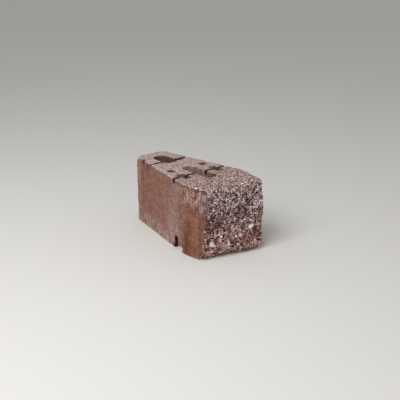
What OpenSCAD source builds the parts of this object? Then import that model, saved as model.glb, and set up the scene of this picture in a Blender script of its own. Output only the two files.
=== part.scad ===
// Split-face retaining wall block, cast in one piece from dry-mix concrete.
// It lies as it is laid in a wall: rough split face towards -Y, narrow tail
// towards +Y, pin holes up and pin channel down. The tail is the datum that the
// moulded sizes are measured from, because it is the only true end of the block.
// The origin is the middle of the underside.

/* [Outline] */
// Height of one course
course_h = 150; // [120:1:200]
// From the tail to the foremost point of the split face
block_d = 305; // [285:1:330]
// Width across the shoulders, the widest place
shoulder_w = 157; // [140:1:190]
// Width of the tail face
tail_w = 73; // [60:1:90]
// Width between the side bevels at the foremost point of the split face
nose_w = 122; // [100:1:138]
// From the tail to the shoulders
shoulder_at = 218; // [205:1:235]
// How far the bevels in front of the shoulders bow outwards
bevel_bow = 3; // [0:0.5:6]

/* [Split face] */
// How far the left edge of the split lies behind the right edge
split_skew = 28; // [0:1:32]
// How far the lower left corner leans back behind that
split_lean = 6; // [0:1:15]
// How far the top falls back from the belly on the right
split_belly = 5; // [0:1:15]
// Height of that belly
belly_at = 62; // [50:1:80]
// Depth of the large lumps of the fracture
lump_relief = 4; // [0:0.5:6]
// Depth of the small lumps of the fracture
grain_relief = 1.6; // [0:0.2:3]
// How far single stones stand out of the fracture, or have left it
stone_relief = 1.8; // [0:0.2:3]
// From the middle to the socket of a large stone, high on the right
socket_at = 29; // [20:1:36]
// Height of that socket
socket_z = 111; // [95:1:125]
// Diameter of the socket
socket_d = 18; // [12:1:24]
// Depth of the socket
socket_depth = 5; // [0:0.5:7]
// How far the top edge of the split is worn back
top_wear = 5; // [0:0.5:7]
// How far the bottom edge of the split is broken away
bottom_break = 12; // [0:0.5:14]
// Number of the fracture pattern
split_seed = 731; // [1:1:999]

/* [Cores] */
// Width of the front core
front_core_w = 28; // [24:1:36]
// Length of the front core
front_core_l = 91; // [70:1:98]
// From the tail to the middle of the front core
front_core_at = 174.5; // [165:0.5:178]
// Width of the rear core
rear_core_w = 33; // [24:1:38]
// Length of the rear core
rear_core_l = 58; // [45:1:70]
// From the tail to the middle of the rear core
rear_core_at = 57; // [50:1:62]

/* [Core bar grooves] */
// Width of the slot that each core bar leaves across the top
groove_w = 6; // [4:0.5:8]
// Depth of the slot over the front core
front_groove_depth = 12; // [6:1:20]
// Depth of the slot over the rear core
rear_groove_depth = 5; // [3:1:20]
// From the tail to the groove over the front core
front_groove_at = 178; // [176:0.5:179]
// From the tail to the groove over the rear core
rear_groove_at = 72; // [60:1:80]

/* [Pins] */
// Diameter of a pin hole
pin_hole_d = 16; // [12:0.5:17]
// Depth of a pin hole
pin_hole_depth = 75; // [40:1:90]
// Between the left and the right pin holes
pin_gauge = 85; // [70:1:92]
// From the tail to the channel that takes the pins of the course below
channel_at = 189; // [187:0.5:191]
// Width of the channel
channel_w = 13.5; // [13:0.5:16]
// Depth of the channel
channel_depth = 28; // [20:1:35]
// Setback of the course above with pins in the front row
plumb_setback = 0; // [-1:0.5:1]
// Setback of the course above with pins in the middle row
wall_setback = 20; // [19:0.5:24]
// Setback of the course above with pins in the rear row
planter_setback = 53; // [46:1:60]

/* [Hidden] */
$fn = 48;
// Cutting shapes run this far past the faces that they cut
past = 5;
// Spaces between the points of the split face, across and up
split_steps = 36;
// Large lumps, small lumps and stones across the split face
lump_count = 5;
grain_count = 11;
stone_count = 17;
// Height over which the top edge of the split is worn and the bottom edge is broken
wear_reach = 11;
break_reach = 9;
// Flats along each bowed bevel
bevel_steps = 6;

tail_y = block_d / 2;
front_y = -block_d / 2;
shoulder_y = tail_y - shoulder_at;
channel_y = tail_y - channel_at;
split_w = shoulder_w + 2 * past;
lumps = rands(-1, 1, (lump_count + 1) * (lump_count + 1), split_seed);
grains = rands(-1, 1, (grain_count + 1) * (grain_count + 1), split_seed + 1);
stones = rands(-1, 1, (stone_count + 1) * (stone_count + 1), split_seed + 2);

function mix(a, b, t) = a + (b - a) * t;
function ease(t) = t * t * (3 - 2 * t);
function square_of(t) = t * t;

// Plan of the casting: tail, shoulders, and bowed bevels that turn in to the split.
function bevel(t) = [
    mix(shoulder_w, nose_w, t) / 2 + bevel_bow * 4 * t * (1 - t),
    mix(shoulder_y, front_y, t)
];
module plan() {
    right = concat([[tail_w / 2, tail_y]], [for (k = [0 : bevel_steps]) bevel(k / bevel_steps)]);
    left = [for (k = [len(right) - 1 : -1 : 0]) [-right[k][0], right[k][1]]];
    polygon(concat(right, left));
}

// Smooth noise from a square table of count + 1 values each way, at u and v from 0 to 1.
function noise(table, count, u, v) =
    let (i = min(floor(u * count), count - 1), j = min(floor(v * count), count - 1))
    let (s = ease(u * count - i), t = ease(v * count - j))
    let (low = j * (count + 1) + i, high = low + count + 1)
    mix(mix(table[low], table[low + 1], s), mix(table[high], table[high + 1], s), t);

// Wear of the top and bottom edges, by the height above the floor.
function wear(z) =
    bottom_break * exp(-square_of(z / break_reach))
    + top_wear * exp(-square_of((course_h - z) / wear_reach));

// Fall of the split above and below its belly, by the height above the floor.
function belly(z) = split_belly * square_of((z - belly_at) / (course_h - belly_at));

// Bowl that a large stone left in the fracture, at x across and z up.
function socket(x, z) =
    socket_depth * max(0, 1 - (square_of(x - socket_at) + square_of(z - socket_z)) / square_of(socket_d / 2));

// How far the fracture lies behind a flat front: u runs left to right, v runs up.
function fracture(u, v) =
    split_skew * (1 - u)
    + split_lean * (1 - u) * (1 - v)
    + u * belly(v * course_h)
    + lump_relief * noise(lumps, lump_count, u, v)
    + grain_relief * noise(grains, grain_count, u, v)
    + stone_relief * noise(stones, stone_count, u, v)
    + socket(mix(-split_w / 2, split_w / 2, u), v * course_h)
    + wear(v * course_h);

// Points of the fracture, row by row upwards. The rows above and below the block repeat
// its edge and the columns reach past the shoulders, so that the cut runs past its faces.
function across(i) = i / split_steps;
function share(k) = max(0, min(1, k / split_steps));
function split_x(i) = mix(-split_w / 2, split_w / 2, across(i));
function in_nose(i) = abs(split_x(i)) < nose_w / 2;
depths = [for (k = [-1 : split_steps + 1], i = [0 : split_steps]) fracture(across(i), share(k))];
foremost = min([
    for (k = [0 : split_steps], i = [0 : split_steps]) if (in_nose(i)) fracture(across(i), share(k))
]);

// The twin half that the block is split from. The foremost lump of the block just
// reaches the front of the plan.
module twin_half() {
    columns = split_steps + 1;
    rows = split_steps + 3;
    face = [
        for (k = [0 : rows - 1], i = [0 : columns - 1])
            [split_x(i), front_y + max(0, depths[k * columns + i] - foremost),
             (k - 1) * course_h / split_steps]
    ];
    low = face[0][2];
    high = face[rows * columns - 1][2];
    far = front_y - past;
    corners = [[-split_w / 2, far, low], [split_w / 2, far, low],
               [split_w / 2, far, high], [-split_w / 2, far, high]];
    base = rows * columns;
    polyhedron(
        points = concat(face, corners),
        faces = concat(
            [for (k = [0 : rows - 2], i = [0 : columns - 2])
                let (p = k * columns + i) [p, p + columns, p + columns + 1]],
            [for (k = [0 : rows - 2], i = [0 : columns - 2])
                let (p = k * columns + i) [p, p + columns + 1, p + 1]],
            [[base, base + 3, base + 2, base + 1]],
            [concat([for (i = [0 : columns - 1]) i], [base + 1, base])],
            [concat([for (i = [columns - 1 : -1 : 0]) base - columns + i], [base + 3, base + 2])],
            [concat([for (k = [rows - 1 : -1 : 0]) k * columns], [base, base + 3])],
            [concat([for (k = [0 : rows - 1]) k * columns + columns - 1], [base + 2, base + 1])]
        )
    );
}

// A round-ended core, right through from top to bottom.
module core(width, length, from_tail) {
    end_y = (length - width) / 2;
    translate([0, tail_y - from_tail, -past])
        linear_extrude(course_h + 2 * past)
            hull()
                for (y = [-end_y, end_y])
                    translate([0, y]) circle(d = width);
}

// A straight cut right across the block, between two heights.
module cross_cut(width, middle_y, low, high) {
    translate([-shoulder_w / 2 - past, middle_y - width / 2, low])
        cube([shoulder_w + 2 * past, width, high - low]);
}

// Blind holes for the pins, in pairs, one pair for each setback of the next course.
module pin_holes() {
    for (side = [-1, 1], setback = [plumb_setback, wall_setback, planter_setback])
        translate([side * pin_gauge / 2, channel_y + setback, course_h - pin_hole_depth])
            cylinder(h = pin_hole_depth + past, d = pin_hole_d);
}

module wall_block() {
    color("#93827b")
        difference() {
            linear_extrude(course_h) plan();
            twin_half();
            core(front_core_w, front_core_l, front_core_at);
            core(rear_core_w, rear_core_l, rear_core_at);
            cross_cut(groove_w, tail_y - front_groove_at, course_h - front_groove_depth, course_h + past);
            cross_cut(groove_w, tail_y - rear_groove_at, course_h - rear_groove_depth, course_h + past);
            cross_cut(channel_w, channel_y, -past, channel_depth);
            pin_holes();
        }
}

wall_block();
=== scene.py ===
import math

import bmesh
import bpy
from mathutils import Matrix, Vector, bvhtree, noise


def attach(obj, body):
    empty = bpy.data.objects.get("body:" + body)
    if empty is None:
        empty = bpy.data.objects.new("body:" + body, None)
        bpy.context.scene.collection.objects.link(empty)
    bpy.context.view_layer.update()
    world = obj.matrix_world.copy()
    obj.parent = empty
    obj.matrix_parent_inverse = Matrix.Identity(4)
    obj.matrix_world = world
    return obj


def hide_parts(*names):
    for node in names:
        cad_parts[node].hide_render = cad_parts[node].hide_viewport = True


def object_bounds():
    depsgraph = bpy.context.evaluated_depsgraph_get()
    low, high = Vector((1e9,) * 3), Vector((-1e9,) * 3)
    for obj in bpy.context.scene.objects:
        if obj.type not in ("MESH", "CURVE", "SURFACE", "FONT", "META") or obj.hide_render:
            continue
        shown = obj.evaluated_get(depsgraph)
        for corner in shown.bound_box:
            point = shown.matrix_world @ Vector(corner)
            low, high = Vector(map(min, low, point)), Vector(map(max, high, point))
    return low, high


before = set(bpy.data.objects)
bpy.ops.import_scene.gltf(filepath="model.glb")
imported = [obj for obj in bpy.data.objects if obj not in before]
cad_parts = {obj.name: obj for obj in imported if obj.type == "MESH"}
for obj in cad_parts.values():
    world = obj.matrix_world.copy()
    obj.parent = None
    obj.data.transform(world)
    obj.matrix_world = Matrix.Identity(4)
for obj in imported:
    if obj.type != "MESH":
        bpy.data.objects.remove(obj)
cad_low, cad_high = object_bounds()

# The casting. The block is one piece of dry-mix concrete, rammed into a steel mould together with
# its twin and stripped at once. The CAD shape gets an even mesh here, fine enough for pits and
# chips, and finer still on the face along which the two were split apart.
MM = 0.001
WELD = 0.01 * MM
EVEN_GRID = 1.4 * MM
SPLIT_FROM_Y = -85 * MM
SPLIT_FADE = 4 * MM
OFF_FLOOR = 1 * MM
SPLIT_AT_ALL = 0.05


def step(low, high, value):
    t = min(max((value - low) / (high - low), 0.0), 1.0)
    return t * t * (3 - 2 * t)


def split_share(point, normal):
    forward = -normal.y
    if point.z > cad_low.z + OFF_FLOOR:
        forward += max(0.0, -normal.z)
    return step(0.35, 0.7, forward) * step(SPLIT_FROM_Y, SPLIT_FROM_Y - SPLIT_FADE, point.y)


def apply_modifiers(piece):
    plain = piece.data
    seen = piece.evaluated_get(bpy.context.evaluated_depsgraph_get())
    piece.data = bpy.data.meshes.new_from_object(seen)
    piece.modifiers.clear()
    bpy.data.meshes.remove(plain)


shape = bmesh.new()
shape.from_mesh(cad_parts["wall_block"].data)
bmesh.ops.remove_doubles(shape, verts=shape.verts, dist=WELD)
block = bpy.data.objects.new("cast_block", bpy.data.meshes.new("cast_block"))
bpy.context.scene.collection.objects.link(block)
shape.to_mesh(block.data)
even = block.modifiers.new("even mesh", "REMESH")
even.mode = "VOXEL"
even.voxel_size = EVEN_GRID
apply_modifiers(block)
shape.clear()
shape.from_mesh(block.data)

fine_edges = {}
for face in shape.faces:
    if split_share(face.calc_center_median(), face.normal) > SPLIT_AT_ALL:
        fine_edges.update(dict.fromkeys(face.edges))
bmesh.ops.subdivide_edges(shape, edges=list(fine_edges), cuts=1, use_grid_fill=True)
shape.normal_update()

# The arrises. Dry-mix concrete sheds grains along every edge when the mould lifts off and when the
# blocks are stacked, so the edges are rounded unevenly. A few chips show the pale sand inside.
EASE = 0.5
WEAR_PASSES = 36
MOST_WEAR = 1.8 * MM
CRUMB = 6 * MM
FINE_CRUMB = 2.8 * MM
CHIP_SPACING = 22 * MM
SHED_ALL_OVER = 0.3
SHED_IN_CHIPS = 0.7
SHED_AS_CRUMBS = 0.6

# Each chip: its middle, its reach and its depth in mm, and the share of it that is clean sand; the rest of
# it is painted shade.
CHIPS = [
    (-71, -113, 146, 5, 3.0, 0.0), (-69, -121, 145, 6, 3.5, 0.0), (-66, -128, 146, 6, 3.5, 0.0),
    (-72, -99, 150, 3.4, 0.3, 0.9), (-70, -111, 150, 3.4, 0.3, 0.9), (-70, -26, 150, 7, 2.5, 0.0),
    (-76, -53.5, 147, 4, 1.5, 0.0), (-78.3, -70, 147, 4, 1.5, 0.0), (-77.5, -80, 147, 4, 1.8, 0.0),
    (-77.5, -80, 142, 3.5, 1.0, 0.0),
    (-41.5, 122, 149, 12, 4.0, 0.0), (-36, 152, 150, 11, 3.0, 0.3),
    (24, 75, 150, 11, 2.0, 0.0), (35, 80, 150, 9, 1.8, 0.0),
    (-75, -46, 4, 10, 2.5, 0.8), (-78, -56, 7, 9, 1.2, 0.75), (-71.2, -27, 5, 7, 1.5, 0.0),
    (78, -50, 148, 7, 3.0, 0.3), (37, 151, 3, 8, 3.0, 0.4),
]
CHIP_RAGGED = 1.5
CHIP_FLOOR = 0.35


# Smooth lumps from -1 to 1, of one size. Each use has a pattern number of its own.
def lumps(point, size, pattern):
    return noise.noise(point / size + Vector((pattern, pattern * 1.7, pattern * 2.3)))


def ease(mesh, verts):
    bmesh.ops.smooth_vert(mesh, verts=verts, factor=EASE,
                          use_axis_x=True, use_axis_y=True, use_axis_z=True)


rounded = shape.copy()
for _ in range(WEAR_PASSES):
    ease(rounded, rounded.verts)
rounded.normal_update()
rounded.verts.ensure_lookup_table()
chips = [(Vector((x, y, z)) * MM, reach * MM, depth * MM, clean)
         for x, y, z, reach, depth, clean in CHIPS]


# What an edge loses where it stands proud of the rounded shape.
def edge_loss(point, proud):
    chipped = step(0.1, 0.5, lumps(point, CHIP_SPACING, 3.1))
    crumbled = 0.5 + 0.5 * lumps(point, CRUMB, 8.4) + 0.6 * lumps(point, FINE_CRUMB, 1.3)
    shed = SHED_ALL_OVER + SHED_IN_CHIPS * chipped + SHED_AS_CRUMBS * max(0.0, crumbled)
    return min(proud, MOST_WEAR) * shed


# What the chips take off a point, how far they paint it with shade, and how far they leave it bare.
def chip_marks(point):
    rough_point = point + Vector((1, 1, 1)) * lumps(point, CRUMB, 4.0) * CHIP_RAGGED * MM
    loss = chip_shade = bare = 0.0
    for middle, reach, depth, clean in chips:
        share = step(reach, CHIP_FLOOR * reach, (rough_point - middle).length)
        loss = max(loss, share * depth)
        chip_shade = max(chip_shade, share * (1 - clean))
        bare = max(bare, share * clean)
    return loss, chip_shade, bare


# The split face. It broke where the two blocks were wedged apart: a rough skin of mortar, with
# stones that stand out, sockets that others left, and crumbled edges to the top and the bevels.
STONE_SPACING = 9 * MM
GRIT_SPACING = 3.4 * MM

# Depths and heights of its relief, in mm.
WAVES = 0.6
KNOBS = 1.1
CRUMBS = 1.0
STONE_HEIGHT = 1.8
MARKED_HEIGHT = 1.4
GRIT_HEIGHT = 1.1
SOCKET_DEPTH = 2.4

# A stone stands out where its draw, from -1 to 1, is over the first, and has left under the second.
STANDS_OUT = 0.4
FELL_OUT = -0.6

# Single stones, sockets, stains and patches, seen from the front: x, z and radius in mm.
WHITE_STONES = [(-52, 33, 5.4), (35, 56, 5.6), (39, 58, 4.2)]
PALE_STONES = [(22, 73, 3.0), (34, 70, 3.0), (-3, 79, 3.4), (-33, 40, 3.6), (4, 24, 3.4),
               (-51, 16, 3.2), (-65, 41, 3.0), (-20, 30, 3.6), (12, 14, 3.4), (-34, 14, 3.4),
               (-68, 63, 3.0), (-67, 47, 3.2)]
PINK_STONES = [(45, 21, 5.2), (-4, 56, 5.0), (40, 98, 3.6), (5, 62, 4.0), (-28, 28, 4.0)]
SOCKETS = [(29, 111, 7.0), (-41, 132, 3.4), (-2, 129, 3.8), (5, 105, 3.0), (-52, 84, 3.4),
           (20, 96, 4.0)]
WINE_STAINS = [(21, 91, 13), (0, 90, 12), (48, 36, 14), (-54, 66, 12), (-12, 30, 8), (-44, 72, 14),
               (-56, 28, 9), (-16, 43, 7)]
DAMP_PATCHES = [(-52, 93, 9), (-31, 87, 9), (-45, 73, 10), (-58, 108, 6), (-9, 127, 8), (-44, 108, 6),
                (-67, 111, 6), (-69, 88, 5), (-55, 64, 9), (-16, 100, 7), (-66, 121, 8), (5, 139, 7),
                (40, 113, 7), (40, 79, 7), (-63, 24, 8), (-18, 132, 8), (5, 101, 8), (-66, 132, 8),
                (-42, 116, 7), (28, 36, 9), (16, 47, 5), (50, 92, 9)]
BLEACHED_PATCHES = [(4, 45, 15), (-22, 58, 13), (22, 74, 12), (32, 128, 10), (-20, 17, 14)]
WHITEST_PATCHES = [(5, 47, 14), (-20, 62, 8), (21, 76, 8), (-31, 48, 8), (-13, 19, 8)]
RAGGED_BY = 2.2
FINELY_RAGGED_BY = 1.6

# How far the fracture crumbles over its edges, is rubbed at the top, and is stained by the bevel.
BEVEL_FROM_Y = -65.5 * MM
CRUMBLE_ON_TOP = 18 * MM
CRUMBLE_ON_BEVEL = 4 * MM
CRUMBLED_TOP = 0.75
CRUMBLED_BEVEL = 0.4
CRUMBLE_LOSS = 0.9 * MM
RUBBED_REACH = 13 * MM
RUBBED_LOSS = 1.6 * MM
PALE_BELOW_TOP = 24 * MM
PALED = 0.45
STAINED_BY_BEVEL = 9 * MM
STAINED = 0.7
NARROWEST = 1 * MM


# A search tree of the skin that is left without some of its faces.
def skin_tree(is_left_out):
    skin = shape.copy()
    left_out = [face for face in skin.faces if is_left_out(face)]
    bmesh.ops.delete(skin, geom=left_out, context="FACES")
    finder = bvhtree.BVHTree.FromBMesh(skin)
    skin.free()
    return finder


def is_moulded(face):
    return split_share(face.calc_center_median(), face.normal) < 0.5


def is_off_bevels(face):
    return abs(face.normal.x) < 0.8 or face.calc_center_median().y > BEVEL_FROM_Y


split_tree = skin_tree(is_moulded)
bevel_tree = skin_tree(is_off_bevels)


# The draw of the nearest stone or pit, and the dome over it.
def bumps(point, spacing, reach):
    gaps, middles = noise.voronoi(point / spacing)
    return noise.cell(middles[0] * 7.3), max(0.0, 1 - (gaps[0] / reach) ** 2)


# How far a point lies in one of the marks, from 0 at its ragged rim to 1 in its middle.
def placed(point, marks):
    shift = RAGGED_BY * lumps(point, CRUMB, 4.7) + FINELY_RAGGED_BY * lumps(point, FINE_CRUMB, 2.9)
    spot = point / MM + Vector((1, 0, -1)) * shift
    return max(max(0.0, 1 - ((spot.x - x) ** 2 + (spot.z - z) ** 2) / r ** 2) for x, z, r in marks)


# What the fracture loses, how far a point is on a stone, and the tone of that stone.
def split_relief(point):
    loss = WAVES * lumps(point, 20 * MM, 1.0)
    loss += KNOBS * lumps(point, 7 * MM, 5.0)
    loss += CRUMBS * lumps(point, FINE_CRUMB, 9.0)
    on_stone = 0.0
    stone_draw, stone_dome = bumps(point, STONE_SPACING, 0.5)
    if stone_draw > STANDS_OUT:
        on_stone = step(0.0, 0.4, stone_dome)
        loss -= STONE_HEIGHT * stone_dome
    if stone_draw < FELL_OUT:
        loss += SOCKET_DEPTH * stone_dome
    grit_draw, grit_dome = bumps(point, GRIT_SPACING, 0.6)
    loss -= GRIT_HEIGHT * grit_draw * grit_dome
    marked = max(placed(point, WHITE_STONES), placed(point, PALE_STONES), placed(point, PINK_STONES))
    loss += SOCKET_DEPTH * placed(point, SOCKETS) - MARKED_HEIGHT * marked
    return loss * MM, on_stone, step(STANDS_OUT, 1.0, stone_draw)


# How far a point is broken, on the split and where it crumbles over its edges, and how far rubbed.
def broken_share(point, normal, split, top):
    below_top = cad_high.z - point.z
    rubbed = split * max(0.0, 1 - below_top / RUBBED_REACH) ** 2
    broken = split * (1 - PALED * step(PALE_BELOW_TOP, 0.0, below_top))
    if split > 0 and point.x < 0:
        reach = STAINED_BY_BEVEL * (0.8 + 1.4 * lumps(point, 12 * MM, 9.3))
        gap = bevel_tree.find_nearest(point)[3]
        broken *= 1 - STAINED * step(max(reach, NARROWEST), 0.0, gap)
    if split < 1 and point.y < SPLIT_FROM_Y and normal.z > -0.5:
        on_top = normal.z > 0.5
        reach = CRUMBLE_ON_TOP if on_top else CRUMBLE_ON_BEVEL
        reach *= 0.7 + 1.3 * lumps(point, 11 * MM, 1.9) + 0.4 * lumps(point, 4 * MM, 6.2)
        gap = split_tree.find_nearest(point)[3]
        crumbled = CRUMBLED_TOP if on_top else CRUMBLED_BEVEL
        broken = max(broken, crumbled * step(max(reach, NARROWEST), 0.2 * reach, gap))
        rubbed = max(rubbed, top * max(0.0, 1 - gap / RUBBED_REACH) ** 2)
    return broken, rubbed


def pale_share(point):
    on_white = step(0.0, 0.4, placed(point, WHITE_STONES))
    on_pale = 0.55 * step(0.0, 0.5, placed(point, PALE_STONES))
    on_pink = 0.3 * step(0.0, 0.5, placed(point, PINK_STONES))
    return max(on_white, on_pale, on_pink)


def wine_stain(point):
    in_stain = step(0.0, 0.7, placed(point, WINE_STAINS))
    on_pink = 0.5 * step(0.0, 0.4, placed(point, PINK_STONES))
    return max(in_stain, on_pink)


def bleached_share(point):
    in_patch = step(0.0, 0.8, placed(point, BLEACHED_PATCHES))
    in_whitest = step(0.0, 0.8, placed(point, WHITEST_PATCHES))
    return 0.5 * (in_patch + in_whitest)


# The top. It was struck off and pressed by the tamper, not by a smooth mould wall, so it is paler
# and open, with pits between the grains. The depths of its relief are in mm.
PIT_SPACING = 7.5 * MM
PITTED_OVER = 0.1
PIT_DEPTH = 1.6
TOP_WAVES = 0.4
TOP_GRAINS = 0.45
TOP_RAISED = 0.35


def top_share(point, normal):
    return step(0.5, 0.9, normal.z) * step(cad_high.z - 4 * MM, cad_high.z - 1 * MM, point.z)


def top_relief(point):
    pit_draw, pit_dome = bumps(point, PIT_SPACING, 0.45)
    pit = PIT_DEPTH * pit_dome if pit_draw > PITTED_OVER else 0.0
    waves = TOP_WAVES * lumps(point, CRUMB, 2.0) + TOP_GRAINS * lumps(point, FINE_CRUMB, 7.0)
    return (waves + pit - TOP_RAISED) * MM


# The sides, bevels and tail. The steel of the mould left them smooth and close, with faint drag
# lines where it slid off, a torn patch high on each bevel and a ragged lip under the top edge,
# with painted shadow under the lip.
# A pair of heights or places runs from where a share starts to where it is full.
DRAG = Vector((1 / (4 * MM), 1 / (4 * MM), 1 / (45 * MM)))
SIDE_BOW = 0.25
DRAG_DEPTH = 0.12
TORN_DEPTH = 0.55
TORN_HIGH = (92 * MM, 116 * MM)
TORN_LOW = (36 * MM, 8 * MM)
TORN_PITS = 6 * MM
TORN_PIT_OVER = 0.35
TORN_PIT_DEPTH = 1.3
LIP_FROM_Y = -15 * MM
LIP_TOP = (150 * MM, 146.5 * MM)
LIP_BOTTOM = (139 * MM, 143 * MM)
LIP_DEPTH = 1.3 * MM
LIP_SHADOW = 0.7
STREAKED_BESIDE = (9 * MM, 3 * MM)
STREAKED_BOTTOM = (98 * MM, 108 * MM)
STREAKED_TOP = (146 * MM, 134 * MM)
BROW_BOTTOM = (86 * MM, 96 * MM)
BROW_TOP = (114 * MM, 106 * MM)
SPLIT_CORNER = (-103 * MM, -110 * MM)
TAIL_DARK_FRONT = (70 * MM, 84 * MM)
TAIL_DARK_BACK = (126 * MM, 112 * MM)
TAIL_DARK_HIGH = (118 * MM, 140 * MM)
RUBBED_FOOT = (8 * MM, 2 * MM)
UNRUBBED_CORNER = (-104 * MM, -110 * MM)
UNRUBBED = 0.8
OLIVE_STAINS = [
    (Vector((-75, -50, 142)) * MM, 26 * MM),
    (Vector((-74, -84, 146)) * MM, 22 * MM),
    (Vector((77, -72, 140)) * MM, 24 * MM),
]
BEVEL_PIT = Vector((-74, -99, 129)) * MM
BEVEL_PIT_REACH = (3.5 * MM, 1.0 * MM)
BEVEL_PIT_DEPTH = 3.0


def side_share(normal):
    return step(0.6, 0.8, abs(normal.x))


def torn_share(point, normal):
    high = step(*TORN_HIGH, point.z + 22 * MM * lumps(point, 20 * MM, 2.4))
    on_bevel = high * step(BEVEL_FROM_Y + 8 * MM, BEVEL_FROM_Y - 10 * MM, point.y)
    at_foot = 0.5 * step(*TORN_LOW, point.z + 16 * MM * lumps(point, 20 * MM, 5.5))
    at_foot *= step(BEVEL_FROM_Y - 6 * MM, BEVEL_FROM_Y, point.y)
    return max(on_bevel, at_foot) * side_share(normal)


def lip_share(point, normal):
    under = step(*LIP_TOP, point.z)
    under *= step(*LIP_BOTTOM, point.z + 3 * MM * lumps(point, 9 * MM, 5.1))
    ragged = step(-0.25, 0.3, lumps(point, 14 * MM, 7.7))
    return under * ragged * step(LIP_FROM_Y, LIP_FROM_Y - 10 * MM, point.y) * side_share(normal)


def olive_share(point):
    ragged = 1 + 0.5 * lumps(point, 10 * MM, 3.3)
    return max(step(reach, 0.2 * reach, (point - middle).length * ragged)
               for middle, reach in OLIVE_STAINS)


# Dirt in streaks by the shoulder, in a brow over the rust and by the split; darker high by the tail.
def bevel_darkening(point, normal):
    beside = step(*STREAKED_BESIDE, abs(point.y - BEVEL_FROM_Y + 6 * MM))
    beside *= step(*STREAKED_BOTTOM, point.z) * step(*STREAKED_TOP, point.z)
    streaked = 0.5 * beside * step(-0.4, 0.3, noise.noise(point * DRAG))
    level = point.z + 10 * MM * lumps(point, 16 * MM, 4.4)
    brow = step(*BROW_BOTTOM, level) * step(*BROW_TOP, level)
    brow *= step(BEVEL_FROM_Y - 2 * MM, BEVEL_FROM_Y - 10 * MM, point.y)
    by_split = step(*SPLIT_CORNER, point.y)
    by_tail = step(*TAIL_DARK_FRONT, point.y) * step(*TAIL_DARK_BACK, point.y)
    by_tail *= step(*TAIL_DARK_HIGH, level)
    return max(streaked, 0.3 * brow, 0.2 * by_split, 0.3 * by_tail) * side_share(normal)


def foot_rub(point, normal):
    return step(*RUBBED_FOOT, point.z + 4 * MM * lumps(point, CRUMB, 6.6)) * side_share(normal)


def side_relief(point, torn):
    lines = noise.noise(point * DRAG)
    pit_draw, pit_dome = bumps(point, TORN_PITS, 0.45)
    pit = TORN_PIT_DEPTH * pit_dome if pit_draw > TORN_PIT_OVER else 0.0
    pit += BEVEL_PIT_DEPTH * step(*BEVEL_PIT_REACH, (point - BEVEL_PIT).length)
    bowed = SIDE_BOW * lumps(point, 34 * MM, 6.0)
    return (bowed + (DRAG_DEPTH + TORN_DEPTH * torn) * lines + torn * pit) * MM


# The cores, grooves, pin holes and channel. Steel cores and bars in the mould left them, with drawn
# walls that flare a little at the rim. Their walls get painted shade: the narrower and lower they are, the
# darker.
NARROW = 6 * MM
WIDE = 28 * MM
DARKER_BELOW = 28 * MM
LONGEST_CORE = 100 * MM
CLEAR = 1.2 * MM
BELOW_RIM = 2 * MM
FLARE = 0.6 * MM
FLARE_REACH = 3 * MM
INNER_ROUGH = 0.45
solid = bvhtree.BVHTree.FromBMesh(shape)


# The way across to the wall that a wall faces, or None on the outside of the block.
def wall_gap(point, normal):
    level = Vector((normal.x, normal.y, 0.0))
    if level.length < 0.3:
        in_cut = BELOW_RIM < point.z < cad_high.z - BELOW_RIM and point.y > SPLIT_FROM_Y
        return CLEAR if in_cut else None
    start = point + level.normalized() * CLEAR
    start.z = min(max(start.z, BELOW_RIM), cad_high.z - BELOW_RIM)
    gap = solid.ray_cast(start, level, LONGEST_CORE)[3]
    return gap if gap and gap > CLEAR else None


# Painted shade on the walls of the cores: darker lower down, towards the tail and the face, and near the
# foot.
def core_shade(point):
    towards_tail = step(10 * MM, 60 * MM, point.y)
    sunk = step(6 * MM, 70 * MM, cad_high.z - point.z)
    towards_face = step(-30 * MM, -56 * MM, point.y)
    at_foot = step(DARKER_BELOW + 12 * MM, DARKER_BELOW, point.z)
    return max(0.1 + 0.7 * towards_tail + 0.28 * sunk + 0.75 * towards_face, at_foot)


# The whole skin. Every point goes in by what its place on the block has lost, and keeps marks of
# what happened to it there and of the painted shade and highlight it gets, which the concrete's material
# reads as attributes.
fresh = shape.verts.layers.float.new("fresh")
upper = shape.verts.layers.float.new("upper")
worn = shape.verts.layers.float.new("worn")
shade_and_dirt = shape.verts.layers.float.new("shade_and_dirt")
pale = shape.verts.layers.float.new("pale")
rough = shape.verts.layers.float.new("rough")
inner = shape.verts.layers.float.new("inner")
olive = shape.verts.layers.float.new("olive")
wine = shape.verts.layers.float.new("wine")
stone = shape.verts.layers.float.new("stone")
tone = shape.verts.layers.float.new("tone")
bleached = shape.verts.layers.float.new("bleached")

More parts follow.
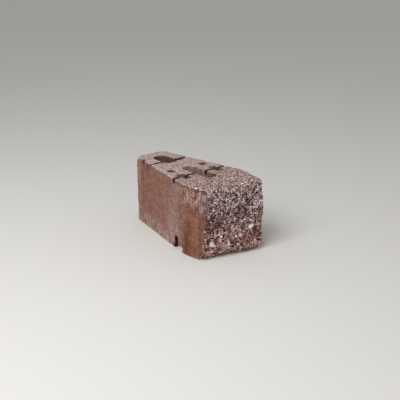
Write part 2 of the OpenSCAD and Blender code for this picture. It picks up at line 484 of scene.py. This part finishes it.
moves = []
shape.verts.ensure_lookup_table()
for vert in shape.verts:
    point = vert.co.copy()
    normal = vert.normal.copy()
    below_top = cad_high.z - point.z
    split = split_share(point, normal)
    top = top_share(point, normal)
    broken, rubbed = broken_share(point, normal, split, top)
    fractured = max(split, broken)
    facing = wall_gap(point, normal)
    torn = INNER_ROUGH if facing else torn_share(point, normal)
    proud = max(0.0, (point - rounded.verts[vert.index].co).dot(normal))
    eased = rounded.verts[vert.index].normal
    inward = normal if facing else eased

    # Painted shade goes into dark chips, pits of the relief and under the lip; dirt goes into streaks and
    # damp patches.
    chip_loss, shade_and_dirt_share, bare = chip_marks(point)
    loss = edge_loss(point, proud)
    loss += RUBBED_LOSS * rubbed
    if broken > 0:
        split_loss, vert[stone], vert[tone] = split_relief(point)
        loss += split * split_loss + max(0.0, broken - split) * (CRUMBLE_LOSS + 0.7 * split_loss)
        # Pits of the relief are painted with shade, the deeper the darker.
        shade_and_dirt_share = max(shade_and_dirt_share, fractured * step(0.5 * MM, 2.4 * MM, split_loss))
    if top > 0:
        top_loss = top_relief(point)
        loss += top * (1 - 0.5 * broken) * top_loss
        shade_and_dirt_share = max(shade_and_dirt_share, top * step(0.5 * MM, 1.6 * MM, top_loss))
    if top < 1 and split < 1:
        side_loss = side_relief(point, torn)
        loss += (1 - top) * (1 - split) * side_loss
        shade_and_dirt_share = max(shade_and_dirt_share, torn * step(0.4 * MM, 1.4 * MM, side_loss))
    if facing:
        loss += FLARE * step(FLARE_REACH, 0.0, below_top)
    else:
        lip = lip_share(point, normal)
        loss += LIP_DEPTH * lip
        shade_and_dirt_share = max(shade_and_dirt_share, LIP_SHADOW * lip, bevel_darkening(point, normal))
    shade_and_dirt_share = max(shade_and_dirt_share, 0.5 * fractured * step(0.0, 0.8, placed(point, DAMP_PATCHES)))
    moves.append(point - inward * loss - eased * chip_loss)

    # Walls that face each other across a gap get painted shade, the narrower the gap, the darker.
    recess_shade = max(step(WIDE, NARROW, facing), core_shade(point)) if facing else 0.0
    over_edge = step(0.1, 0.6, normal.z) * step(4 * MM, 1 * MM, below_top)
    # Edges that stand proud, and the foot, are painted pale: worn sand, and on the edges partly a painted
    # highlight.
    rubbed_and_lit = max(min(1.0, proud / MOST_WEAR), 0.0 if facing else foot_rub(point, normal))
    by_split = step(*UNRUBBED_CORNER, point.y) * (1 - top)
    vert[fresh] = broken
    vert[upper] = max(over_edge, split * step(PALE_BELOW_TOP, 0.0, below_top))
    vert[worn] = rubbed_and_lit * (1 - fractured) * (1 - UNRUBBED * by_split)
    vert[shade_and_dirt] = max(recess_shade, shade_and_dirt_share)
    vert[pale] = max(pale_share(point) * fractured, bare)
    vert[rough] = 0.0 if facing else torn
    vert[inner] = 1.0 if facing else 0.0
    vert[olive] = olive_share(point) * (1 - top)
    vert[wine] = wine_stain(point)
    vert[bleached] = bleached_share(point)
for vert, moved in zip(shape.verts, moves):
    vert.co = moved
    vert.co.z = max(vert.co.z, cad_low.z)
rounded.free()

# Where two worn walls meet, the mesh can fold over itself, so the folds are eased out. The flat
# walls then give up triangles, and a fin of two faces back to back that this may leave is deleted.
FOLD = math.radians(110)
UNFOLD_PASSES = 8
TRIANGLES = 190000

for _ in range(UNFOLD_PASSES):
    shape.normal_update()
    folds = [edge for edge in shape.edges if edge.calc_face_angle(0.0) > FOLD]
    ease(shape, list({vert for edge in folds for vert in edge.verts}))
for face in shape.faces:
    face.smooth = True
shape.to_mesh(block.data)

triangles = sum(len(face.vertices) - 2 for face in block.data.polygons)
thinned = block.modifiers.new("fewer triangles on flat walls", "DECIMATE")
thinned.ratio = TRIANGLES / triangles
apply_modifiers(block)
shape.clear()
shape.from_mesh(block.data)
sides = {}
for face in shape.faces:
    sides.setdefault(frozenset(vert.index for vert in face.verts), []).append(face)
fins = [face for pair in sides.values() if len(pair) > 1 for face in pair]
bmesh.ops.delete(shape, geom=fins, context="FACES")
shape.to_mesh(block.data)
shape.free()
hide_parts("wall_block")
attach(block, "root")


# Dry-cast concrete: sand, grey cement with a brown oxide and crushed stone. The mould leaves it
# matt and even with faint drag lines, the top is paler and open, and the split shows the stones.
def linear(code):
    parts = [int(code[k:k + 2], 16) / 255 for k in (1, 3, 5)]
    return [c / 12.92 if c <= 0.04045 else ((c + 0.055) / 1.055) ** 2.4 for c in parts] + [1.0]


concrete = bpy.data.materials.new("dry_cast_concrete")
concrete.use_nodes = True
tree = concrete.node_tree
tree.nodes.clear()


def add(kind, inputs, stops=None, out=None, **settings):
    made = tree.nodes.new("ShaderNode" + kind)
    for name, value in settings.items():
        setattr(made, name, value)
    for name, value in inputs.items():
        if isinstance(value, bpy.types.NodeSocket):
            tree.links.new(value, made.inputs[name])
        else:
            made.inputs[name].default_value = value
    if stops:
        ramp = made.color_ramp
        while len(ramp.elements) < len(stops):
            ramp.elements.new(1.0)
        for element, (position, code) in zip(ramp.elements, stops):
            element.position = position
            element.color = linear(code)
    return made.outputs[out] if out else next((socket for socket in made.outputs if socket.enabled), None)


# The patterns, by their sizes on the block. The sand starts coarser than real grains of sand, so
# that it shows in a picture of the whole block.
place = add("TexCoord", {}, out="Object")
height = add("SeparateXYZ", {"Vector": place}, out="Z")
along = add("SeparateXYZ", {"Vector": place}, out="Y")
broad = add("TexNoise", {"Vector": place, "Scale": 1 / (48 * MM), "Detail": 3.0})
blotch = add("TexNoise", {"Vector": place, "Scale": 1 / (17 * MM), "Detail": 4.0})
mottle = add("TexNoise", {"Vector": place, "Scale": 1 / (9 * MM), "Detail": 5.0, "Roughness": 0.75})
sand = add("TexNoise", {"Vector": place, "Scale": 1 / (5 * MM), "Detail": 4.0, "Roughness": 0.75})
fine_sand = add("TexNoise", {"Vector": place, "Scale": 1 / (1.2 * MM), "Detail": 2.0, "Roughness": 0.7})
bend = add("TexNoise", {"Vector": place, "Scale": 1 / (3 * MM), "Detail": 3.0}, out="Color")
bend = add("VectorMath", {0: bend, 1: (0.5, 0.5, 0.5)}, operation="SUBTRACT")
bend = add("VectorMath", {0: bend, "Scale": 2.6 * MM}, operation="SCALE")
bent = add("VectorMath", {0: place, 1: bend}, operation="ADD")
grain = add("TexVoronoi", {"Vector": bent, "Scale": 1 / (2.2 * MM), "Smoothness": 0.3}, out="Color",
            feature="SMOOTH_F1")
grain_draw = add("SeparateColor", {"Color": grain}, out="Red")
gravel = add("TexVoronoi", {"Vector": bent, "Scale": 1 / (2.5 * MM)}, out="Color")
gravel_draw = add("SeparateColor", {"Color": gravel}, out="Red")
gravel_rim = add("TexVoronoi", {"Vector": bent, "Scale": 1 / (2.5 * MM)}, feature="DISTANCE_TO_EDGE")
slid = add("Mapping", {"Vector": place, "Scale": (1.0, 1.0, 0.12)})
drag = add("TexNoise", {"Vector": slid, "Scale": 1 / (14 * MM), "Detail": 4.0})

# The moulded skin: brown and blotched, rusty low on the bevels, faded behind them and along the
# foot, greyer at the tail, and with one red streak down each side just ahead of the tail.
skin = add("ValToRGB", {"Fac": broad}, stops=[(0.3, "#885c4e"), (0.5, "#866156"), (0.7, "#89685e")])
rust_edge = add("Math", {0: blotch, 1: 50 * MM, 2: height}, operation="MULTIPLY_ADD")
rust_low = add("MapRange", {"Value": rust_edge, "From Min": 158 * MM, "From Max": 100 * MM})
rust_front = add("MapRange", {"Value": along, "From Min": -58 * MM, "From Max": -76 * MM})
rust = add("Math", {0: rust_low, 1: rust_front}, operation="MULTIPLY")
rust_patchy = add("MapRange", {
    "Value": blotch, "From Min": 0.3, "From Max": 0.6, "To Min": 0.6, "To Max": 1.0})
rust = add("Math", {0: rust, 1: rust_patchy}, operation="MULTIPLY")
rust_faded = add("MapRange", {"Value": along, "From Min": -74 * MM, "From Max": -104 * MM})
rust_high = add("MapRange", {"Value": height, "From Min": 25 * MM, "From Max": 95 * MM})
rust_faded = add("Math", {0: rust_faded, 1: rust_high}, operation="MAXIMUM")
rust_colour = add("Mix", {"Factor": rust_faded, "A": linear("#64351f"), "B": linear("#875a48")},
                  data_type="RGBA")
skin = add("Mix", {"Factor": rust, "A": skin, "B": rust_colour}, data_type="RGBA")
foot_low = add("MapRange", {"Value": height, "From Min": 42 * MM, "From Max": 4 * MM})
foot_back = add("MapRange", {"Value": along, "From Min": -58 * MM, "From Max": -40 * MM, "To Max": 0.8})
foot = add("Math", {0: foot_low, 1: foot_back}, operation="MULTIPLY")
faded_front = add("MapRange", {"Value": along, "From Min": 26 * MM, "From Max": -8 * MM})
faded_low = add("MapRange", {"Value": height, "From Min": 135 * MM, "From Max": 40 * MM, "To Max": 0.75})
faded = add("Math", {0: faded_front, 1: faded_low}, operation="MULTIPLY")
faded = add("Math", {0: faded, 1: foot_back}, operation="MULTIPLY")
faded = add("Math", {0: faded, 1: foot}, operation="MAXIMUM")
skin = add("Mix", {"Factor": faded, "A": skin, "B": linear("#a18a82")}, data_type="RGBA")
greyer = add("MapRange", {"Value": along, "From Min": 128 * MM, "From Max": 145 * MM, "To Max": 0.5})
skin = add("Mix", {"Factor": greyer, "A": skin, "B": linear("#97807b")}, data_type="RGBA")
red_streak = add("ValToRGB", {"Fac": along}, stops=[
    (108 * MM, "#000000"), (117 * MM, "#ffffff"), (122 * MM, "#ffffff"), (129 * MM, "#000000")])
red_patchy = add("MapRange", {"Value": blotch, "From Min": 0.35, "From Max": 0.6, "To Max": 0.6})
red_streak = add("Math", {0: red_streak, 1: red_patchy}, operation="MULTIPLY")
skin = add("Mix", {"Factor": red_streak, "A": skin, "B": linear("#84463a")}, data_type="RGBA")

# What the mould and the sand drew on that skin: upright streaks, speckles and mottles all over,
# torn patches, olive stains, and the greyer, streaked walls of the cores and holes.
streak = add("MapRange", {
    "Value": drag, "From Min": 0.3, "From Max": 0.7, "To Min": 0.89, "To Max": 1.11})
speckle = add("MapRange", {"Value": grain_draw, "To Min": 0.66, "To Max": 1.34})
mottled = add("MapRange", {
    "Value": mottle, "From Min": 0.3, "From Max": 0.7, "To Min": 0.63, "To Max": 1.37})
textured = add("Math", {0: streak, 1: speckle}, operation="MULTIPLY")
textured = add("Math", {0: textured, 1: mottled}, operation="MULTIPLY")
skin = add("Mix", {"Factor": 1.0, "A": skin, "B": textured}, data_type="RGBA", blend_type="MULTIPLY")
is_rough = add("Attribute", {}, out="Fac", attribute_name="rough")
torn_lines = add("Mapping", {"Vector": place, "Scale": (1.0, 1.0, 0.3)})
torn_lines = add("TexNoise", {"Vector": torn_lines, "Scale": 1 / (6 * MM), "Detail": 5.0, "Roughness": 0.7})
torn_lines = add("Mix", {"Factor": 0.35, "A": torn_lines, "B": mottle})
torn_colour = add("ValToRGB", {"Fac": torn_lines}, stops=[
    (0.4, "#422d23"), (0.48, "#85675e"), (0.6, "#c3a79e")])
torn_colour = add("Mix", {"Factor": 1.0, "A": torn_colour, "B": speckle},
                  data_type="RGBA", blend_type="MULTIPLY")
skin = add("Mix", {"Factor": is_rough, "A": skin, "B": torn_colour}, data_type="RGBA")
is_olive = add("Attribute", {}, out="Fac", attribute_name="olive")
olive_seen = add("MapRange", {"Value": is_olive, "To Max": 0.65})
skin = add("Mix", {"Factor": olive_seen, "A": skin, "B": linear("#917a65")}, data_type="RGBA")
is_inner = add("Attribute", {}, out="Fac", attribute_name="inner")
inner_seen = add("MapRange", {"Value": is_inner, "To Max": 0.75})
core_colour = add("ValToRGB", {"Fac": drag}, stops=[
    (0.3, "#735f58"), (0.5, "#90796f"), (0.7, "#ab978b")])
skin = add("Mix", {"Factor": inner_seen, "A": skin, "B": core_colour}, data_type="RGBA")

# The top: a paler, greyer laitance over the same sand, pinker and grainier at the head.
uneven = add("TexNoise", {"Vector": place, "Scale": 1 / (10 * MM), "Detail": 6.0, "Roughness": 0.8})
grainy = add("MapRange", {
    "Value": along, "From Min": -60 * MM, "From Max": -110 * MM, "To Min": 0.4, "To Max": 0.65})
uneven = add("Mix", {"Factor": grainy, "A": uneven, "B": grain_draw})
top_pale = add("ValToRGB", {"Fac": uneven}, stops=[
    (0.26, "#74635f"), (0.5, "#a8938f"), (0.74, "#d0c2bd")])
top_pink = add("ValToRGB", {"Fac": uneven}, stops=[
    (0.28, "#5a433c"), (0.5, "#967a72"), (0.72, "#d0bab2")])
at_head = add("MapRange", {"Value": along, "From Min": 10 * MM, "From Max": -60 * MM})
top_colour = add("Mix", {"Factor": at_head, "A": top_pale, "B": top_pink}, data_type="RGBA")
dusted = add("MapRange", {
    "Value": fine_sand, "From Min": 0.3, "From Max": 0.7, "To Min": 0.7, "To Max": 1.32})
top_colour = add("Mix", {"Factor": 1.0, "A": top_colour, "B": dusted},
                 data_type="RGBA", blend_type="MULTIPLY")
is_top = add("Attribute", {}, out="Fac", attribute_name="upper")
colour = add("Mix", {"Factor": is_top, "A": skin, "B": top_colour}, data_type="RGBA")

# The fracture: grains of many stones in grey mortar, with larger stones between them and white crystal
# specks painted as glints. It is bleached, damp or wine red in patches, redder towards the foot, and
# lighter there with sandy crumbs and painted light bounced up from the floor.
# The near-black and near-white grains stand partly for painted shade between grains and painted glints on
# them.
broken_colour = add("ValToRGB", {"Fac": gravel_draw}, stops=[
    (0.0, "#060404"), (0.2, "#402f2f"), (0.49, "#806968"), (0.76, "#b19a98"), (0.92, "#f8ece9")])
in_mortar = add("MapRange", {
    "Value": gravel_rim, "From Min": 0.02, "From Max": 0.12, "To Min": 0.45, "To Max": 0.0})
broken_colour = add("Mix", {"Factor": in_mortar, "A": broken_colour, "B": linear("#655251")},
                    data_type="RGBA")
is_stone = add("Attribute", {}, out="Fac", attribute_name="stone")
stone_tone = add("Attribute", {}, out="Fac", attribute_name="tone")
stone_colour = add("ValToRGB", {"Fac": stone_tone}, stops=[
    (0.0, "#4a3838"), (0.35, "#85706f"), (0.7, "#a8908c"), (1.0, "#d6c2bd")])
coarse = add("MapRange", {"Value": height, "From Min": 110 * MM, "From Max": 70 * MM, "To Min": 0.3})
stone_seen = add("Math", {0: is_stone, 1: coarse}, operation="MULTIPLY")
stone_seen = add("Math", {0: stone_seen, 1: 0.75}, operation="MULTIPLY")
broken_colour = add("Mix", {"Factor": stone_seen, "A": broken_colour, "B": stone_colour},
                    data_type="RGBA")
sanded = add("MapRange", {
    "Value": fine_sand, "From Min": 0.3, "From Max": 0.7, "To Min": 0.6, "To Max": 1.4})
broken_colour = add("Mix", {"Factor": 1.0, "A": broken_colour, "B": sanded},
                    data_type="RGBA", blend_type="MULTIPLY")
# White specks painted as glints on crystals.
crystal_glint = add("MapRange", {"Value": grain_draw, "From Min": 0.82, "From Max": 0.9, "To Max": 0.6})
broken_colour = add("Mix", {"Factor": crystal_glint, "A": broken_colour, "B": linear("#fff4f0")},
                    data_type="RGBA")
is_bleached = add("Attribute", {}, out="Fac", attribute_name="bleached")
bleaching = add("MapRange", {"Value": is_bleached, "To Min": 1.0, "To Max": 2.1})
broken_colour = add("Mix", {"Factor": 1.0, "A": broken_colour, "B": bleaching},
                    data_type="RGBA", blend_type="MULTIPLY")
redness = add("MapRange", {"Value": height, "From Min": 125 * MM, "From Max": 20 * MM, "To Max": 0.5})
still_red = add("MapRange", {"Value": is_bleached, "To Min": 1.0, "To Max": 0.0})
redness = add("Math", {0: redness, 1: still_red}, operation="MULTIPLY")
broken_colour = add("Mix", {"Factor": redness, "A": broken_colour, "B": linear("#ffc8c0")},
                    data_type="RGBA", blend_type="MULTIPLY")
# Lighter towards the foot: painted light bounced up from the floor, broken up as sandy crumbs.
bounce_lit_low = add("MapRange", {"Value": height, "From Min": 34 * MM, "From Max": 6 * MM, "To Max": 0.7})
sandy_crumbs = add("MapRange", {"Value": gravel_draw, "From Min": 0.35, "From Max": 0.65})
sandy_and_bounce_lit = add("Math", {0: bounce_lit_low, 1: sandy_crumbs}, operation="MULTIPLY")
broken_colour = add("Mix", {"Factor": sandy_and_bounce_lit, "A": broken_colour, "B": linear("#dcc4b2")},
                    data_type="RGBA")
patchy = add("ValToRGB", {"Fac": blotch}, stops=[(0.3, "#a48889"), (0.45, "#e6dad8"), (0.6, "#ffffff")])
broken_colour = add("Mix", {"Factor": coarse, "A": broken_colour, "B": patchy},
                    data_type="RGBA", blend_type="MULTIPLY")
is_wine = add("Attribute", {}, out="Fac", attribute_name="wine")
wine_seen = add("MapRange", {"Value": is_wine, "To Max": 0.55})
broken_colour = add("Mix", {"Factor": wine_seen, "A": broken_colour, "B": linear("#b88688")},
                    data_type="RGBA", blend_type="MULTIPLY")
is_fresh = add("Attribute", {}, out="Fac", attribute_name="fresh")
colour = add("Mix", {"Factor": is_fresh, "A": colour, "B": broken_colour}, data_type="RGBA")

# Over all of it: the pale sand that shows on worn edges, partly a painted highlight; painted shade in pits,
# chips, holes and grooves, with dirt and damp in streaks and patches; rust red low in the channel; and the
# whitish stones and clean chips.
is_worn = add("Attribute", {}, out="Fac", attribute_name="worn")
worn_patchy = add("MapRange", {"Value": blotch, "From Min": 0.35, "From Max": 0.65, "To Max": 0.5})
worn_seen = add("Math", {0: is_worn, 1: worn_patchy}, operation="MULTIPLY")
colour = add("Mix", {"Factor": worn_seen, "A": colour, "B": linear("#b8a29a")}, data_type="RGBA")
is_shade_and_dirt = add("Attribute", {}, out="Fac", attribute_name="shade_and_dirt")
shade_and_dirt_seen = add("MapRange", {"Value": is_shade_and_dirt, "To Max": 0.9})
shade_and_dirt_colour = add("ValToRGB", {"Fac": height}, stops=[(28 * MM, "#561a0e"), (60 * MM, "#6e4c4a")])
colour = add("Mix", {"Factor": shade_and_dirt_seen, "A": colour, "B": shade_and_dirt_colour}, data_type="RGBA", blend_type="MULTIPLY")
is_pale = add("Attribute", {}, out="Fac", attribute_name="pale")
colour = add("Mix", {"Factor": is_pale, "A": colour, "B": linear("#ecdfd9")}, data_type="RGBA")

bump = add("Bump", {"Height": sand, "Strength": 0.45, "Distance": 0.9 * MM})
surface = add("BsdfPrincipled", {
    "Base Color": colour, "Roughness": 0.9, "Specular IOR Level": 0.12, "Normal": bump})
add("OutputMaterial", {"Surface": surface})
block.data.materials.append(concrete)

# The studio: a pale matt floor that the block stands on, a soft lamp above it on the left in an
# evenly lit room, and the camera at the photograph's angle.
FLOOR_REACH = 20.0
ROOM_LIGHT = 0.45
LAMP_POWER = 24.0
LAMP_SIZE = 1.1
LAMP_AT = Vector((-1.15, -0.4, 1.4))
LAMP_AIM = Vector((0.0, 0.0, 0.07))
VIEW_AZIMUTH = math.radians(-39.72)
VIEW_ELEVATION = math.radians(19.89)
VIEW_DISTANCE = 1507.6 * MM
VIEW_AIM = Vector((22.2 * MM, 1.5 * MM, 74.9 * MM))
LENS = 63.0
SENSOR = 36.0

floor_shape = bmesh.new()
bmesh.ops.create_grid(floor_shape, x_segments=1, y_segments=1, size=FLOOR_REACH)
floor = bpy.data.objects.new("floor", bpy.data.meshes.new("floor"))
floor_shape.to_mesh(floor.data)
floor_shape.free()
bpy.context.scene.collection.objects.link(floor)
paper = bpy.data.materials.new("pale_matt_floor")
paper.use_nodes = True
paper_surface = paper.node_tree.nodes["Principled BSDF"]
paper_surface.inputs["Base Color"].default_value = linear("#dcdad6")
paper_surface.inputs["Roughness"].default_value = 0.9
floor.data.materials.append(paper)

room = bpy.data.worlds.new("soft_room")
room.use_nodes = True
room.node_tree.nodes["Background"].inputs["Color"].default_value = linear("#ffffff")
room.node_tree.nodes["Background"].inputs["Strength"].default_value = ROOM_LIGHT
bpy.context.scene.world = room

lamp = bpy.data.objects.new("overhead", bpy.data.lights.new("overhead", "AREA"))
lamp.data.energy = LAMP_POWER
lamp.data.size = LAMP_SIZE
lamp.location = LAMP_AT
lamp.rotation_euler = (LAMP_AIM - LAMP_AT).to_track_quat("-Z", "Y").to_euler()
bpy.context.scene.collection.objects.link(lamp)

camera = bpy.data.objects.new("camera", bpy.data.cameras.new("camera"))
bpy.context.scene.collection.objects.link(camera)
back = Vector((
    math.sin(VIEW_AZIMUTH) * math.cos(VIEW_ELEVATION),
    -math.cos(VIEW_AZIMUTH) * math.cos(VIEW_ELEVATION),
    math.sin(VIEW_ELEVATION),
))
camera.location = VIEW_AIM + back * VIEW_DISTANCE
camera.rotation_euler = (-back).to_track_quat("-Z", "Y").to_euler()
camera.data.lens = LENS
camera.data.sensor_width = SENSOR
bpy.context.scene.camera = camera
bpy.context.scene.view_settings.view_transform = "Standard"
